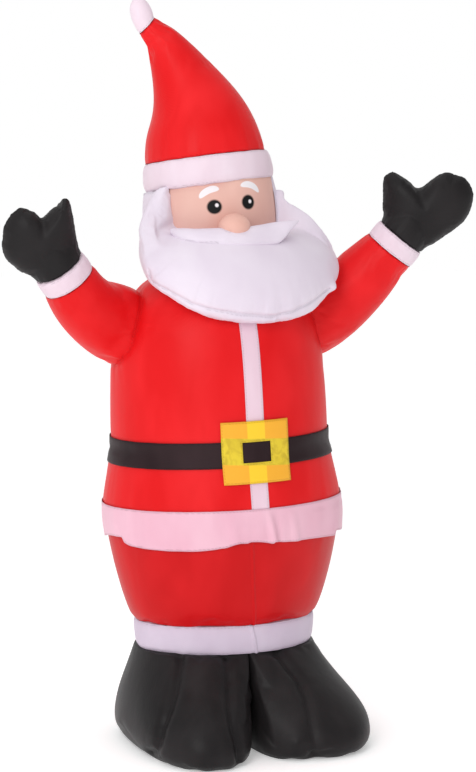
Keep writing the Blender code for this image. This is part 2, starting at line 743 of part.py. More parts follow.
def build():
    """Builds the whole figure."""
    for item in list(bpy.data.objects):
        bpy.data.objects.remove(item)
    shift = Matrix.Translation(ORIGIN_SHIFT)
    figure = frame("figure", None, Matrix.Scale(HEIGHT / DRAWN_HEIGHT, 4) @ shift)
    boots = frame("boots", figure, Matrix.Translation((BOOTS_X, 0, 0)) @ turned(BOOTS_TURN, "Z"))
    body = frame("body", figure, turned(BODY_TURN, "Z"))
    neck = Matrix.Translation((HEAD_X, 0, NECK))
    tilt = turned(HEAD_TURN, "Z") @ turned(-HEAD_LEAN, "Y") @ turned(-HEAD_NOD_BACK, "X")
    head = frame("head_place", figure, neck @ tilt)
    beard_place = frame("beard_place", figure, neck @ turned(BEARD_TURN, "Z"))
    level_tilt = turned(MOUSTACHE_TURN, "Z") @ turned(-MOUSTACHE_LEAN, "Y") @ turned(-HEAD_NOD_BACK, "X")
    moustache_place = frame("moustache_place", figure, neck @ level_tilt)

    add_boot(1, boots)
    add_boot(-1, boots)
    add_trousers(body)
    add_jacket(body)
    jacket_guide = guide(loft("jacket_guide", jacket_rings(SEWN_GAP), "red", body))
    chest_guide = guide(loft("chest_guide", jacket_rings(2 * SEWN_GAP + CLOTH), "red", body))
    add_arm("left", figure, jacket_guide)
    add_arm("right", figure, jacket_guide)
    head_guide = add_head(head, jacket_guide)
    band_ring = [oval((0.002, 0, level), (0, 0, 1), 0.30, 0.30, 12) for level in (HAT_BAND_LOW - 0.001, 0.40)]
    band_guide = guide(loft("band_guide", band_ring, "white", head))
    add_face(head, beard_place, moustache_place, (head_guide, band_guide, chest_guide))
    add_hat(head)


build()
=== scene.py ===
"""Inflatable figure of sewn polyester, two boots to hat tip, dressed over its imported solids."""

import math

import bmesh
import bpy
from mathutils import Matrix, Vector, bvhtree, kdtree, noise


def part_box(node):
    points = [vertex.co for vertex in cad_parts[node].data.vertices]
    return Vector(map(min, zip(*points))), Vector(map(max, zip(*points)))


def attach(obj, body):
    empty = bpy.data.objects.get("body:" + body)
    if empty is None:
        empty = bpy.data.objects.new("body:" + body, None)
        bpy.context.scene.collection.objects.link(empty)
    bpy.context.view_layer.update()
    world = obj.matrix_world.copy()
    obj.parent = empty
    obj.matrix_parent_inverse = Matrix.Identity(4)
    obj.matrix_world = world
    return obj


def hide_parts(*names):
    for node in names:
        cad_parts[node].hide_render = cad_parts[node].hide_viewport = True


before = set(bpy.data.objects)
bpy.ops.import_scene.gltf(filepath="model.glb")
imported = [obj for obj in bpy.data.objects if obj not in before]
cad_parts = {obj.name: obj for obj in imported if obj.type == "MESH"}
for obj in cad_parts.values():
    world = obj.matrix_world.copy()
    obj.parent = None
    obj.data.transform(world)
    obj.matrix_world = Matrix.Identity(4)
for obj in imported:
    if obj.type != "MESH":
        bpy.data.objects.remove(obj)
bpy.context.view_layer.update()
scene = bpy.context.scene

# The studio: a white floor that runs out of sight into a white backdrop, so that little shade falls. The
# key light is soft and stands at the viewer's left, and the surround is dimmer at the viewer's right.
# The camera stands left of the figure's front.
CAMERA_PLACE = (-1.4795, -4.7395, 1.32)
CAMERA_AIM = (0.0254, 0.0288, 0.8645)
CAMERA_LENS = 95.97
CAMERA_SENSOR = 36.0
LIGHTS = (
    ("key_light", (-2.2, -3.3, 2.5), 1.6, 50.0),
    ("top_light", (-0.3, -0.6, 3.8), 2.0, 11.0),
)
LIGHTS_AIM = Vector((0, 0, 0.9))
SURROUND = "#ffffff"
BACKDROP_WAY = Vector((0.30, 0.95, 0.0))
BACKDROP_EDGE = (0.80, 0.93)
BACKDROP_STRENGTH = 1.0
LIT_SIDE_STRENGTH = 0.80
DARK_SIDE = Vector((0.80, -0.58, 0.15)).normalized()
DARK_SIDE_EDGE = (0.1, 0.9)
DARK_SIDE_STRENGTH = 0.48
FLOOR_SIZE = 60.0
FLOOR_GLOW = 0.30


def linear(colour):
    """The linear value of an sRGB colour written as hex."""
    channels = [int(colour[i:i + 2], 16) / 255 for i in (1, 3, 5)]
    return (*[c / 12.92 if c <= 0.04045 else ((c + 0.055) / 1.055) ** 2.4 for c in channels], 1.0)


def add(material, kind, values=None, **settings):
    """Adds a node to a material or the world. Values pair a socket with a value or with what feeds it."""
    node = material.node_tree.nodes.new("ShaderNode" + kind)
    for name, setting in settings.items():
        setattr(node, name, setting)
    for socket, value in (values or {}).items():
        if isinstance(value, bpy.types.NodeSocket):
            material.node_tree.links.new(value, node.inputs[socket])
        else:
            node.inputs[socket].default_value = value
    return node


def only(piece):
    """Deselects everything else, so that the operators act on one piece."""
    bpy.ops.object.select_all(action="DESELECT")
    piece.select_set(True)
    bpy.context.view_layer.objects.active = piece


bpy.ops.object.camera_add(location=CAMERA_PLACE)
camera = bpy.context.object
camera.rotation_euler = (Vector(CAMERA_AIM) - Vector(CAMERA_PLACE)).to_track_quat("-Z", "Y").to_euler()
camera.data.sensor_fit = "AUTO"
camera.data.sensor_width = CAMERA_SENSOR
camera.data.lens = CAMERA_LENS
scene.camera = camera

for name, place, size, power in LIGHTS:
    bpy.ops.object.light_add(type="AREA", location=place)
    light = bpy.context.object
    light.name = name
    light.data.size = size
    light.data.energy = power
    light.rotation_euler = (LIGHTS_AIM - Vector(place)).to_track_quat("-Z", "Y").to_euler()

scene.world = bpy.data.worlds.new("studio_surround")
scene.world.use_nodes = True
surround = scene.world.node_tree.nodes["Background"]
surround.inputs["Color"].default_value = linear(SURROUND)
way = add(scene.world, "TexCoord").outputs["Generated"]
toward_dark = add(scene.world, "VectorMath", {0: way, 1: DARK_SIDE}, operation="DOT_PRODUCT")
start, end = DARK_SIDE_EDGE
sides = {0: toward_dark.outputs["Value"], 1: start, 2: end, 3: LIT_SIDE_STRENGTH, 4: DARK_SIDE_STRENGTH}
sides = add(scene.world, "MapRange", sides).outputs[0]
toward_backdrop = add(scene.world, "VectorMath", {0: way, 1: BACKDROP_WAY}, operation="DOT_PRODUCT")
start, end = BACKDROP_EDGE
behind = {0: toward_backdrop.outputs["Value"], 1: start, 2: end, 3: 0.0, 4: BACKDROP_STRENGTH}
behind = add(scene.world, "MapRange", behind).outputs[0]
strength = add(scene.world, "Math", {0: sides, 1: behind}, operation="MAXIMUM").outputs[0]
scene.world.node_tree.links.new(strength, surround.inputs["Strength"])
scene.view_settings.view_transform = "Standard"

bpy.ops.mesh.primitive_plane_add(size=FLOOR_SIZE)
floor = bpy.context.object
floor.name = "studio_floor"
floor_paint = bpy.data.materials.new("matt_floor_paint")
floor_paint.use_nodes = True
paint = floor_paint.node_tree.nodes["Principled BSDF"]
paint.inputs["Base Color"].default_value = linear(SURROUND)
paint.inputs["Roughness"].default_value = 0.9
paint.inputs["Specular IOR Level"].default_value = 0.1
paint.inputs["Emission Color"].default_value = linear(SURROUND)
paint.inputs["Emission Strength"].default_value = FLOOR_GLOW
floor.data.materials.append(floor_paint)


# Boots: two black chambers that the whole figure stands on, pressed flat against each other at the
# cleft. Each is sewn from upright gores of coated polyester, so its seams draw in as grooves with painted
# shade along them.
BOOT_CLOTH = {"colour": "#1d1b1c", "faded": "#2a2728", "satin": 0.40, "gleam": 0.0, "glance": 0.13}
BOOT_SEAMS = {
    "right": (
        (
            (-0.157, 0.232), (-0.162, 0.224), (-0.179, 0.187), (-0.209, 0.133),
            (-0.233, 0.087), (-0.243, 0.047), (-0.246, 0.015),
        ),
        (
            (-0.052, 0.232), (-0.053, 0.225), (-0.064, 0.178), (-0.076, 0.136),
            (-0.077, 0.094), (-0.072, 0.066), (-0.068, 0.020),
        ),
    ),
    "left": (
        (
            (0.078, 0.232), (0.093, 0.209), (0.113, 0.176), (0.120, 0.136),
            (0.116, 0.085), (0.118, 0.032), (0.119, 0.015),
        ),
    ),
}
BOOT_BACK_SEAMS = {"right": ((-0.150, 0.232), (-0.185, 0.015)), "left": ((0.165, 0.232), (0.200, 0.015))}
THREAD_PITCH = 0.0045
WEAVE_DEPTH = 0.00006
CRINKLE_STRETCH = (1.0, 1.0, 0.45)
CRINKLE_SCALE = 11.0
CRINKLE_DEPTH = 0.0020
WRINKLE_SCALE = 95.0
WRINKLE_DEPTH = 0.00022
STITCH_FROM_SEAM = 0.0038
STITCH_WIDTH = 0.0009
STITCH_DEPTH = 0.0005
# How dark the stitches and the painted shade along the seams are.
SEAM_SHADE_AND_STITCH_DARKNESS = 0.35
SEAM_FAR = 0.08
POINT_STEP = 0.002
TOUCHING = 0.0022
TUCK = 0.012
BLOW_FRAMES = 16
AIR_PRESSURE = 3.0
CLOTH_SLACK = 0.006
CLOTH_STIFFNESS = 15.0
CLOTH_MASS = 0.15
PINNED_REACH = 0.012
MOST_SWELL = 0.004


def polyester(name, colour, faded, satin, gleam, glance=0.30, shade=None):
    """Polyester taffeta: plain woven, dyed and coated on the back.

    It is smooth and satiny, with soft crinkles from having been folded away. Its threads are 0.15 mm
    apart, far too fine to show, so the weave is drawn at THREAD_PITCH. The seam attribute, metres from
    the nearest seam, places a row of stitches, and painted shade that darkens the cloth where a seam is
    drawn in and at the edges of sewn-on bands.
    """
    cloth = bpy.data.materials.new(name)
    cloth.use_nodes = True
    shader = cloth.node_tree.nodes["Principled BSDF"]
    place = add(cloth, "TexCoord").outputs["Object"]
    seam = add(cloth, "Attribute", attribute_name="seam").outputs["Fac"]

    stretched = add(cloth, "Mapping", {"Vector": place, "Scale": CRINKLE_STRETCH}).outputs["Vector"]
    crinkle = {"Vector": stretched, "Scale": CRINKLE_SCALE, "Detail": 2.0, "Distortion": 0.3}
    crinkle = add(cloth, "TexNoise", crinkle).outputs["Fac"]
    wrinkle = add(cloth, "TexNoise", {"Vector": place, "Scale": WRINKLE_SCALE, "Detail": 2.0}).outputs["Fac"]

    axes = add(cloth, "SeparateXYZ", {"Vector": place})
    around = add(cloth, "Math", {0: axes.outputs["X"], 1: axes.outputs["Y"]}, operation="ADD").outputs[0]
    thread_turns = 2 * math.pi / THREAD_PITCH
    weft = add(cloth, "Math", {0: axes.outputs["Z"], 1: thread_turns}, operation="MULTIPLY").outputs[0]
    weft = add(cloth, "Math", {0: weft}, operation="SINE").outputs[0]
    warp = add(cloth, "Math", {0: around, 1: thread_turns}, operation="MULTIPLY").outputs[0]
    warp = add(cloth, "Math", {0: warp}, operation="SINE").outputs[0]
    weave = add(cloth, "Math", {0: weft, 1: warp}, operation="MULTIPLY").outputs[0]

    from_row = add(cloth, "Math", {0: seam, 1: STITCH_FROM_SEAM}, operation="SUBTRACT").outputs[0]
    from_row = add(cloth, "Math", {0: from_row}, operation="ABSOLUTE").outputs[0]
    row = {0: from_row, 1: STITCH_WIDTH * 0.5, 2: STITCH_WIDTH, 3: 1.0, 4: 0.0}
    row = add(cloth, "MapRange", row).outputs[0]
    length = add(cloth, "Math", {0: around, 1: axes.outputs["Z"]}, operation="ADD").outputs[0]
    dash = add(cloth, "Math", {0: length, 1: thread_turns * 0.6}, operation="MULTIPLY").outputs[0]
    dash = add(cloth, "Math", {0: dash}, operation="SINE").outputs[0]
    dash = add(cloth, "MapRange", {0: dash, 1: -0.5, 2: 0.0}).outputs[0]
    stitch = add(cloth, "Math", {0: row, 1: dash}, operation="MULTIPLY").outputs[0]

    fading = add(cloth, "MapRange", {0: crinkle, 1: 0.35, 2: 0.72}).outputs[0]
    dyed = add(cloth, "Mix", {0: fading, 6: linear(colour), 7: linear(faded)}, data_type="RGBA").outputs[2]
    if shade is not None:
        dyed = shade(cloth, place, dyed)
    # Painted shade: the cloth darkens within a few millimetres of a seam or a band's edge, and the stitch
    # row darkens with it.
    drawn = add(cloth, "MapRange", {0: seam, 1: 0.0005, 2: 0.0035, 3: 0.9, 4: 0.0}).outputs[0]
    drawn = add(cloth, "Math", {0: drawn, 1: stitch}, operation="MAXIMUM").outputs[0]
    drawn = add(cloth, "Math", {0: drawn, 1: SEAM_SHADE_AND_STITCH_DARKNESS}, operation="MULTIPLY").outputs[0]
    darker = add(cloth, "HueSaturation", {"Saturation": 1.08, "Value": 0.55, "Color": dyed}).outputs[0]
    dyed = add(cloth, "Mix", {0: drawn, 6: dyed, 7: darker}, data_type="RGBA").outputs[2]
    cloth.node_tree.links.new(dyed, shader.inputs["Base Color"])

    rough = {0: crinkle, 1: 0.3, 2: 0.7, 3: satin - 0.04, 4: satin + 0.07}
    rough = add(cloth, "MapRange", rough).outputs[0]
    cloth.node_tree.links.new(rough, shader.inputs["Roughness"])
    height = add(cloth, "Math", {0: weave, 1: WEAVE_DEPTH}, operation="MULTIPLY").outputs[0]
    for feature, depth in ((crinkle, CRINKLE_DEPTH), (wrinkle, WRINKLE_DEPTH), (stitch, -STITCH_DEPTH)):
        scaled = {0: feature, 1: depth, 2: height}
        height = add(cloth, "Math", scaled, operation="MULTIPLY_ADD").outputs[0]
    bump = add(cloth, "Bump", {"Strength": 1.0, "Distance": 1.0, "Height": height}).outputs["Normal"]
    cloth.node_tree.links.new(bump, shader.inputs["Normal"])
    shader.inputs["IOR"].default_value = 1.50
    shader.inputs["Specular IOR Level"].default_value = glance
    shader.inputs["Sheen Weight"].default_value = gleam
    shader.inputs["Sheen Roughness"].default_value = 0.35
    shader.inputs["Sheen Tint"].default_value = linear(faded)
    return cloth


def applied(piece, kind, **settings):
    """Adds a modifier and applies it at once."""
    modifier = piece.modifiers.new(kind.lower(), kind)
    for name, setting in settings.items():
        setattr(modifier, name, setting)
    only(piece)
    bpy.ops.object.modifier_apply(modifier=modifier.name)


def merged(name, node, shape=None):
    """A new piece that starts as the node's solid, its triangles merged to quads, left in edit mode."""
    piece = bpy.data.objects.new(name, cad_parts[node].data.copy())
    piece.data.materials.clear()
    scene.collection.objects.link(piece)
    if shape is not None:
        for vert in piece.data.vertices:
            vert.co = shape(vert.co.copy())
    only(piece)
    bpy.ops.object.mode_set(mode="EDIT")
    bpy.ops.mesh.select_all(action="SELECT")
    bpy.ops.mesh.remove_doubles(threshold=0.00001)
    bpy.ops.mesh.tris_convert_to_quads(face_threshold=math.radians(35), shape_threshold=math.radians(35))
    bpy.ops.mesh.customdata_custom_splitnormals_clear()
    return piece


def chamber(name, node, cell=None, fairing=3, into=(), shape=None):
    """A blown-up chamber with the form of its solid, its facets rounded and its rims kept.

    Where it is sewn to the chambers named in into, the cloth carries on inside them. A chamber cut to
    fit its neighbours is given an even mesh with cells of one size.
    """
    piece = merged(name, node, shape)
    bpy.ops.mesh.select_all(action="DESELECT")
    bpy.ops.mesh.select_mode(type="EDGE")
    bpy.ops.mesh.edges_select_sharp(sharpness=math.radians(38))
    bpy.ops.transform.edge_crease(value=1.0)
    bpy.ops.object.mode_set(mode="OBJECT")
    for neighbour in into:
        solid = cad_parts[neighbour].data
        corners = [vert.co for vert in solid.vertices]
        surface = bvhtree.BVHTree.FromPolygons(corners, [face.vertices[:] for face in solid.polygons])
        for vert in piece.data.vertices:
            _, normal, _, distance = surface.find_nearest(vert.co)
            if distance < TOUCHING:
                vert.co -= normal * TUCK
    applied(piece, "SUBSURF", levels=2, render_levels=2)
    if cell:
        applied(piece, "REMESH", mode="VOXEL", voxel_size=cell, adaptivity=0.0)
        applied(piece, "SMOOTH", factor=0.5, iterations=fairing)
    return piece


def along(start, end):
    """Points every 2 mm from start to end."""
    steps = max(1, round((end - start).length / POINT_STEP))
    return [start.lerp(end, step / steps) for step in range(steps + 1)]


def folds(node, least):
    """Points every 2 mm along the rims of a solid, where it folds outwards by at least some degrees."""
    solid = bmesh.new()
    solid.from_mesh(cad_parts[node].data)
    bmesh.ops.remove_doubles(solid, verts=solid.verts, dist=0.00001)
    points = []
    for edge in solid.edges:
        if len(edge.link_faces) == 2 and math.degrees(edge.calc_face_angle_signed()) >= least:
            points += along(*[vert.co.copy() for vert in edge.verts])
    solid.free()
    return points


def seam_line(piece, corners, facing=-1):
    """Points every 2 mm along a seam with corners at x and z, laid on the front or the back of a piece."""
    points = []
    for (x, z), (next_x, next_z) in zip(corners, corners[1:]):
        steps = max(1, round(math.dist((x, z), (next_x, next_z)) / POINT_STEP))
        for step in range(steps + 1):
            share = step / steps
            start = Vector((x + (next_x - x) * share, 2.0 * facing, z + (next_z - z) * share))
            found, point, _, _ = piece.ray_cast(start, Vector((0, -facing, 0)))
            if found:
                points.append(point)
    return points


def blown(piece, pins):
    """Blows the cloth out between its seams, which stay where they are, and caps how far it swells."""
    group = piece.vertex_groups.new(name="sewn")
    tree = tree_of(pins)
    for vert in piece.data.vertices:
        distance = tree.find(vert.co)[2]
        group.add([vert.index], max(0.0, 1.0 - distance / PINNED_REACH), "REPLACE")
    before = [vert.co.copy() for vert in piece.data.vertices]
    air = piece.modifiers.new("air", "CLOTH")
    air.settings.quality = 4
    air.settings.mass = CLOTH_MASS
    air.settings.tension_stiffness = CLOTH_STIFFNESS
    air.settings.compression_stiffness = CLOTH_STIFFNESS
    air.settings.shear_stiffness = CLOTH_STIFFNESS * 0.4
    air.settings.bending_stiffness = 0.3
    air.settings.use_pressure = True
    air.settings.uniform_pressure_force = AIR_PRESSURE
    air.settings.shrink_min = -CLOTH_SLACK
    air.settings.vertex_group_mass = "sewn"
    air.settings.effector_weights.gravity = 0.0
    air.point_cache.frame_start = 1
    air.point_cache.frame_end = BLOW_FRAMES
    for number in range(1, BLOW_FRAMES + 1):
        scene.frame_set(number)
    only(piece)
    bpy.ops.object.modifier_apply(modifier="air")
    scene.frame_set(1)
    for vert, start in zip(piece.data.vertices, before):
        moved = vert.co - start
        vert.co = start + moved * min(1.0, MOST_SWELL / max(moved.length, 0.000001))
    piece.vertex_groups.clear()


def tree_of(points):
    """A search tree of points."""
    tree = kdtree.KDTree(len(points))
    for index, point in enumerate(points):
        tree.insert(point, index)
    tree.balance()
    return tree


def refined(piece, points, reach, cuts):
    """Splits the mesh near some points, so that a narrow seam has cells to show in."""
    tree = tree_of(points)
    mesh = bmesh.new()
    mesh.from_mesh(piece.data)
    for _ in range(cuts):
        near = {vert for vert in mesh.verts if tree.find(vert.co)[2] < reach}
        edges = [edge for edge in mesh.edges if edge.verts[0] in near and edge.verts[1] in near]
        bmesh.ops.subdivide_edges(mesh, edges=edges, cuts=1, use_grid_fill=True)
    mesh.to_mesh(piece.data)
    mesh.free()


def noted(piece, seams):
    """Stores how far each point of the mesh is from the nearest seam, for its cloth's stitches and painted
    seam shade.
    """
    away = piece.data.attributes.new("seam", "FLOAT", "POINT")
    for vert in piece.data.vertices:
        away.data[vert.index].value = min(seams.find(vert.co)[2], SEAM_FAR)


def sewn(piece, seams, groove=0.004, width=0.008, pucker=0.003, reach=0.04, wave=0.030, levels=1, splits=1):
    """Draws the cloth in along its seams, gathers it into puckers that run off them, and notes the seams.

    The mesh is refined first, by levels all over and by splits near the seams.
    """
    if levels:
        applied(piece, "SUBSURF", levels=levels, render_levels=levels)
    if splits:
        refined(piece, seams, 0.012, splits)
    tree = tree_of(seams)
    noted(piece, tree)
    drawn = []
    for vert in piece.data.vertices:
        nearest, _, distance = tree.find(vert.co)
        on_seam = math.exp(-(distance / width) ** 2)
        depth = groove * on_seam
        if distance < 4 * reach:
            gather = noise.noise(nearest / wave) + 0.5 * noise.noise(nearest / wave * 2.3)
            depth += pucker * gather * math.exp(-distance / reach) * (1 - 0.6 * on_seam)
        drawn.append(vert.co - vert.normal * depth)
    for vert, point in zip(piece.data.vertices, drawn):
        vert.co = point


def dressed(piece, cloth, slot, *nodes):
    """Gives a finished piece its cloth and lets it stand for its solid."""
    piece.data.materials.append(cloth)
    piece.data.shade_smooth()
    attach(piece, "root")
    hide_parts(*nodes)
    return piece


# Black dyed taffeta, matt to the eye, with a dull grey gleam only where its crinkles catch the light.
black_taffeta = polyester("black_taffeta", **BOOT_CLOTH)
for side in ("left", "right"):
    node = "boot_" + side
    boot = chamber(node + "_cloth", node)
    blown(boot, folds(node, 55))
    gores = seam_line(boot, BOOT_BACK_SEAMS[side], facing=1)
    for corners in BOOT_SEAMS[side]:
        gores += seam_line(boot, corners)
    sewn(boot, gores, groove=0.0095, width=0.013, pucker=0.004, reach=0.022, wave=0.030)
    for vert in boot.data.vertices:
        vert.co.z = max(0.0, vert.co.z)
    dressed(boot, black_taffeta, "black_cloth", node)


# Ankle band: a white ring between the boots and the trousers, one more blown-up chamber of the body.
# Its two edge seams gather the cloth, and the upright seam at the front stands out as a narrow fold.
RIDGE_REACH = 0.014
ANKLE_FOLD = ((0.0100, 0.3030), (0.0114, 0.2975), (0.0230, 0.2423), (0.0245, 0.2350))
BODY_AXIS = Vector((-0.0076, 0.0420, 0.0))


def raised(piece, line, height, width):
    """Lifts the cloth into a narrow ridge along a seam that has its spare cloth folded behind it."""
    refined(piece, line, RIDGE_REACH, 2)
    tree = tree_of(line)
    for vert, normal in zip(piece.data.vertices, [vert.normal.copy() for vert in piece.data.vertices]):
        vert.co += normal * height * math.exp(-(tree.find(vert.co)[2] / width) ** 2)


# White taffeta, greyer and cooler than elsewhere: it lies low, in the shade of the body.
ankle_taffeta = polyester("ankle_taffeta", "#ccbccf", "#d6c8d9", 0.44, 0.10)
ankle_band = chamber("ankle_band_cloth", "ankle_band")
rims = folds("ankle_band", 55)
blown(ankle_band, rims)
sewn(ankle_band, rims, groove=0.0010, width=0.005, pucker=0.002, reach=0.03, wave=0.035)
raised(ankle_band, seam_line(ankle_band, ANKLE_FOLD), 0.0050, 0.0035)
dressed(ankle_band, ankle_taffeta, "white_cloth", "ankle_band")


# Trousers: one red chamber from the ankle band to the hips, fuller than the band below it, closed by
# a seam up its front. The loose hem of the jacket hides its top.
# The trousers' red is darkened with painted shade.
TROUSERS_CLOTH = {"colour": "#c50f13", "faded": "#d0181c", "satin": 0.40, "gleam": 0.0, "glance": 0.13}
TROUSERS_SEAM = ((-0.0185, 0.5740), (-0.0108, 0.5038), (0.0001, 0.4106), (0.0158, 0.3128), (0.0168, 0.3045))

# Red dyed taffeta with painted shade: deeper than the jacket's, as it lies lower and further from the light.
shaded_red_taffeta = polyester("shaded_red_taffeta", **TROUSERS_CLOTH)
trousers = chamber("trousers_cloth", "trousers")
rims = folds("trousers", 55)
front = seam_line(trousers, TROUSERS_SEAM)
blown(trousers, rims + front)
sewn(trousers, rims, groove=0.002, pucker=0.0035, reach=0.045, wave=0.045)
raised(trousers, front, 0.0028, 0.0030)
dressed(trousers, shaded_red_taffeta, "red_cloth", "trousers")


# Jacket: the biggest red chamber, from the hips to the neck. The belt draws it in at the waist and
# the sleeves pull folds into it at the armholes.
RED_CLOTH = {"colour": "#db1519", "faded": "#e62125", "satin": 0.40, "gleam": 0.0, "glance": 0.13}
ARMHOLE_NEAR = 0.006

# Red dyed taffeta, a clear warm red with a soft satin gleam.
red_taffeta = polyester("red_taffeta", **RED_CLOTH)
jacket = chamber("jacket_cloth", "jacket")
rims = folds("jacket", 55)
armholes = folds("sleeve_left", 50) + folds("sleeve_right", 50)
armholes = [
    point for point in armholes if (point - jacket.closest_point_on_mesh(point)[1]).length < ARMHOLE_NEAR
]
blown(jacket, rims + armholes)
sewn(jacket, rims + armholes, groove=0.0020, pucker=0.0040, reach=0.045, wave=0.045)
dressed(jacket, red_taffeta, "red_cloth", "jacket")


# Placket: a strip of white polyester sewn flat down the middle of the jacket's front, over its closed
# edge. Its upper end is hidden by the beard and its lower end runs under the hem.
def sheet_of(name, node, cuts):
    """The outer face of a sewn-on band, as an even sheet with no thickness yet."""
    piece = merged(name, node)
    bpy.ops.mesh.select_all(action="DESELECT")
    bpy.ops.object.mode_set(mode="OBJECT")
    for face in piece.data.polygons:
        out = face.center - BODY_AXIS
        out.z = 0.0
        face.select = face.normal.dot(out.normalized()) < 0.5
    bpy.ops.object.mode_set(mode="EDIT")
    bpy.ops.mesh.delete(type="FACE")
    bpy.ops.mesh.select_all(action="SELECT")
    bpy.ops.mesh.subdivide(number_cuts=cuts)
    bpy.ops.object.mode_set(mode="OBJECT")
    return piece


def sewn_flat(piece, off, thickness, target, group=""):
    """Lays a sheet on the cloth below it, gives it its thickness and notes where its edges are."""
    edges = bmesh.new()
    applied(piece, "SHRINKWRAP", target=target, wrap_mode="ABOVE_SURFACE", offset=off, vertex_group=group)
    edges.from_mesh(piece.data)
    border = []
    for edge in edges.edges:
        if edge.is_boundary:
            border += along(*[vert.co.copy() for vert in edge.verts])
    edges.free()
    noted(piece, tree_of(border))
    applied(piece, "SOLIDIFY", thickness=thickness, offset=-1.0)


BAND_THICKNESS = 0.0010
PLACKET_OFF = 0.0014
PLACKET_TUCK = 0.012
TUCKED_END = 0.05

# White taffeta in one layer, a little pink from the red cloth under it.
placket_taffeta = polyester("placket_taffeta", "#e3c2d1", "#e9cdda", 0.44, 0.10)
placket = sheet_of("placket_cloth", "placket", cuts=5)
placket_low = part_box("placket")[0].z
for vert in placket.data.vertices:
    vert.co.z -= PLACKET_TUCK * max(0.0, 1.0 - (vert.co.z - placket_low) / TUCKED_END)
sewn_flat(placket, PLACKET_OFF, BAND_THICKNESS, jacket)
dressed(placket, placket_taffeta, "white_cloth", "placket")


# Belt: a band of black polyester round the jacket at the waist, over the placket. It is sewn down flat
# along both of its edges.
BELT_OFF = 0.0036
BELT_THICKNESS = 0.0012

# Black taffeta in one layer, a little brown from the red cloth under it.
belt_taffeta = polyester("belt_taffeta", "#27191c", "#322326", 0.44, 0.0, glance=0.12)
belt = sheet_of("belt_cloth", "belt", cuts=5)
sewn_flat(belt, BELT_OFF, BELT_THICKNESS, jacket)
dressed(belt, belt_taffeta, "black_cloth", "belt")


# Buckle: a square of thin yellow cloth with a hole in it, sewn over the belt. It is sheer enough that
# the red jacket, the white placket and the black belt below it change its yellow.
BUCKLE_OVER_RED = "#f3ae30"
BUCKLE_OVER_WHITE = "#f8cb2e"
BUCKLE_OVER_BELT = "#e2c732"
BUCKLE_CREASE = "#cdb02a"
BUCKLE_OFF = 0.0056
BUCKLE_LEAN = 0.035
PLACKET_HALF_WIDTH = 0.022
SEEN_BELT_INSET = 0.009
SHADOW_EDGE = 0.001
belt_low, belt_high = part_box("belt")
buckle_low, buckle_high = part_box("buckle")


def backed_by(cloth, place, dyed):
    """Yellow that is changed by the colour of what lies behind it."""
    axes = add(cloth, "SeparateXYZ", {"Vector": place})
    x, z = axes.outputs["X"], axes.outputs["Z"]
    middle = (buckle_low + buckle_high) / 2
    half_belt = (belt_high.z - belt_low.z) / 2 - SEEN_BELT_INSET

    def shadow(measure, half):
        """1 within half of the middle line of a band and 0 outside it."""
        off = add(cloth, "Math", {0: measure}, operation="ABSOLUTE").outputs[0]
        edges = {0: off, 1: half - SHADOW_EDGE, 2: half + SHADOW_EDGE, 3: 1.0, 4: 0.0}
        return add(cloth, "MapRange", edges).outputs[0]

    across = add(cloth, "Math", {0: x, 1: -middle.x}, operation="ADD").outputs[0]
    across = add(cloth, "Math", {0: z, 1: BUCKLE_LEAN, 2: across}, operation="MULTIPLY_ADD").outputs[0]
    across = add(cloth, "Math", {0: across, 1: BUCKLE_LEAN * middle.z}, operation="SUBTRACT").outputs[0]
    up = add(cloth, "Math", {0: x, 1: BUCKLE_LEAN, 2: z}, operation="MULTIPLY_ADD").outputs[0]
    up = add(cloth, "Math", {0: up, 1: middle.z + BUCKLE_LEAN * middle.x}, operation="SUBTRACT").outputs[0]
    patches = add(cloth, "TexNoise", {"Vector": place, "Scale": 38.0, "Detail": 2.0, "Distortion": 1.0})
    patches = add(cloth, "MapRange", {0: patches.outputs["Fac"], 1: 0.42, 2: 0.62}).outputs[0]
    over_belt = {0: patches, 6: linear(BUCKLE_OVER_BELT), 7: linear(BUCKLE_CREASE)}
    over_belt = add(cloth, "Mix", over_belt, data_type="RGBA").outputs[2]
    on_white = shadow(across, PLACKET_HALF_WIDTH)
    over_jacket = {0: on_white, 6: linear(BUCKLE_OVER_RED), 7: linear(BUCKLE_OVER_WHITE)}
    over_jacket = add(cloth, "Mix", over_jacket, data_type="RGBA").outputs[2]
    on_belt = shadow(up, half_belt)
    return add(cloth, "Mix", {0: on_belt, 6: over_jacket, 7: over_belt}, data_type="RGBA").outputs[2]


# Yellow organza: one sheer crisp layer, so that it has patches where it touches the belt behind it.
yellow_organza = polyester(
    "yellow_organza", BUCKLE_OVER_RED, BUCKLE_OVER_WHITE, 0.46, 0.05, shade=backed_by
)
buckle = sheet_of("buckle_cloth", "buckle", cuts=5)
sewn_flat(buckle, BUCKLE_OFF, BAND_THICKNESS, jacket)
dressed(buckle, yellow_organza, "yellow_cloth", "buckle")


# Hem of the jacket: a loose white strip sewn to the jacket along its top edge only, which hangs over
# the trousers. Its lower edge is cut unevenly and stands off in soft folds.
HEM_OFF = 0.0036
HEM_PINNED_SHARE = 4.0
HEM_FOLD_LEAN = 6.0
HEM_RIPPLE = 0.0015
HEM_RIPPLE_ANGLE = 7.0
# Each fold: angle from the front in degrees, how far it stands off, half width in degrees.
HEM_FOLDS = (
    (-78.0, 0.006, 8.0),
    (-34.0, 0.003, 6.0),
    (-12.0, 0.006, 3.0),
    (9.3, 0.015, 2.0),
    (13.5, -0.004, 1.8),
    (23.0, 0.009, 3.0),
    (57.0, 0.007, 6.0),
    (110.0, 0.006, 9.0),
    (150.0, 0.005, 9.0),
    (-140.0, 0.006, 9.0),
)
